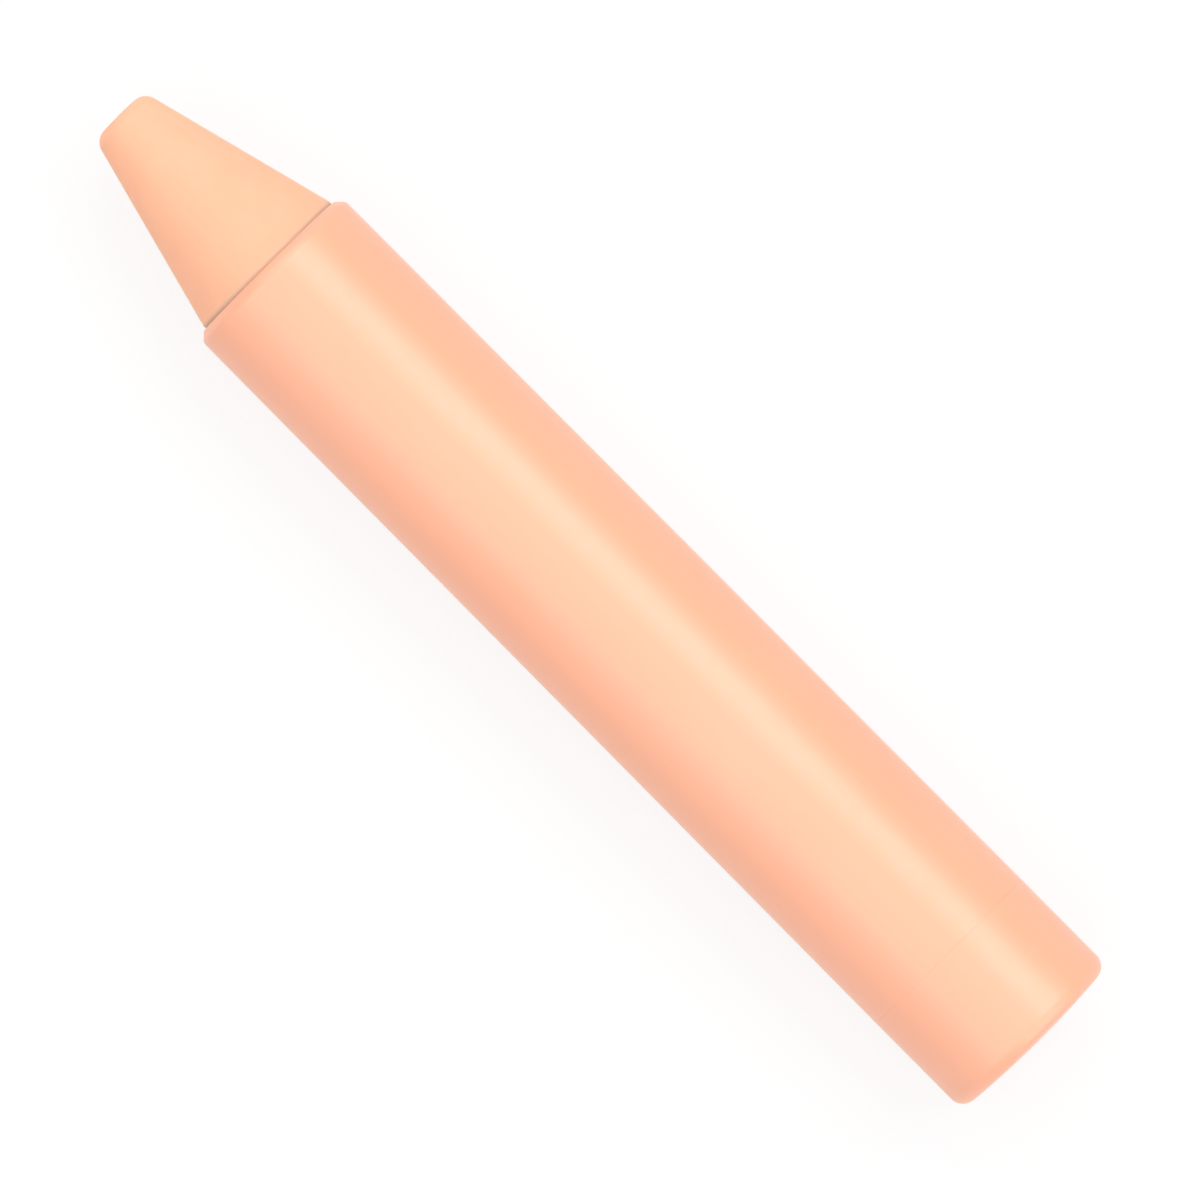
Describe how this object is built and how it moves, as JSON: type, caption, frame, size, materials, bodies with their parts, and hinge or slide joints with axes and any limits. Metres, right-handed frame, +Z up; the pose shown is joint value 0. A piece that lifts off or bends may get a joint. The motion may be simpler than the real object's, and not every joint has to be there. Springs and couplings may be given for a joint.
{
  "type": "twist crayon",
  "caption": "Thick round twist-up crayon: a wax stick with a blunt conical nose in a slightly tapered plastic barrel, fed by turning a domed base that drives a lead screw.",
  "frame": {"origin": "on the surface the crayon lies on, under the middle of its length and its axis", "axes": "+X along the crayon's axis towards the tip, +Z up from the surface"},
  "size_m": [0.102, 0.016, 0.016],
  "materials": {
    "barrel_plastic": "satin",
    "peach_wax": "matte",
    "screw_plastic": "satin",
    "carrier_plastic": "matte",
    "ring_rubber": "matte"
  },
  "bodies": {
    "barrel": {"barrel": "barrel_plastic"},
    "twist_base": {"twist_base": "barrel_plastic", "lead_screw": "screw_plastic", "friction_ring": "ring_rubber"},
    "stick": {"crayon_stick": "peach_wax", "carrier": "carrier_plastic"}
  },
  "joints": [
    {"name": "base_twist", "type": "hinge", "parent": "barrel", "child": "twist_base", "pos_m": [-0.041, 0, 0.008], "axis": [1, 0, 0], "range_deg": [-540, 720]},
    {"name": "stick_slide", "type": "slide", "parent": "barrel", "child": "stick", "axis": [1, 0, 0], "range_m": [-0.018, 0.024]}
  ],
  "couplings": [
    {"joint": "base_twist", "follows": "stick_slide", "rad_per_m": 523.6}
  ]
}
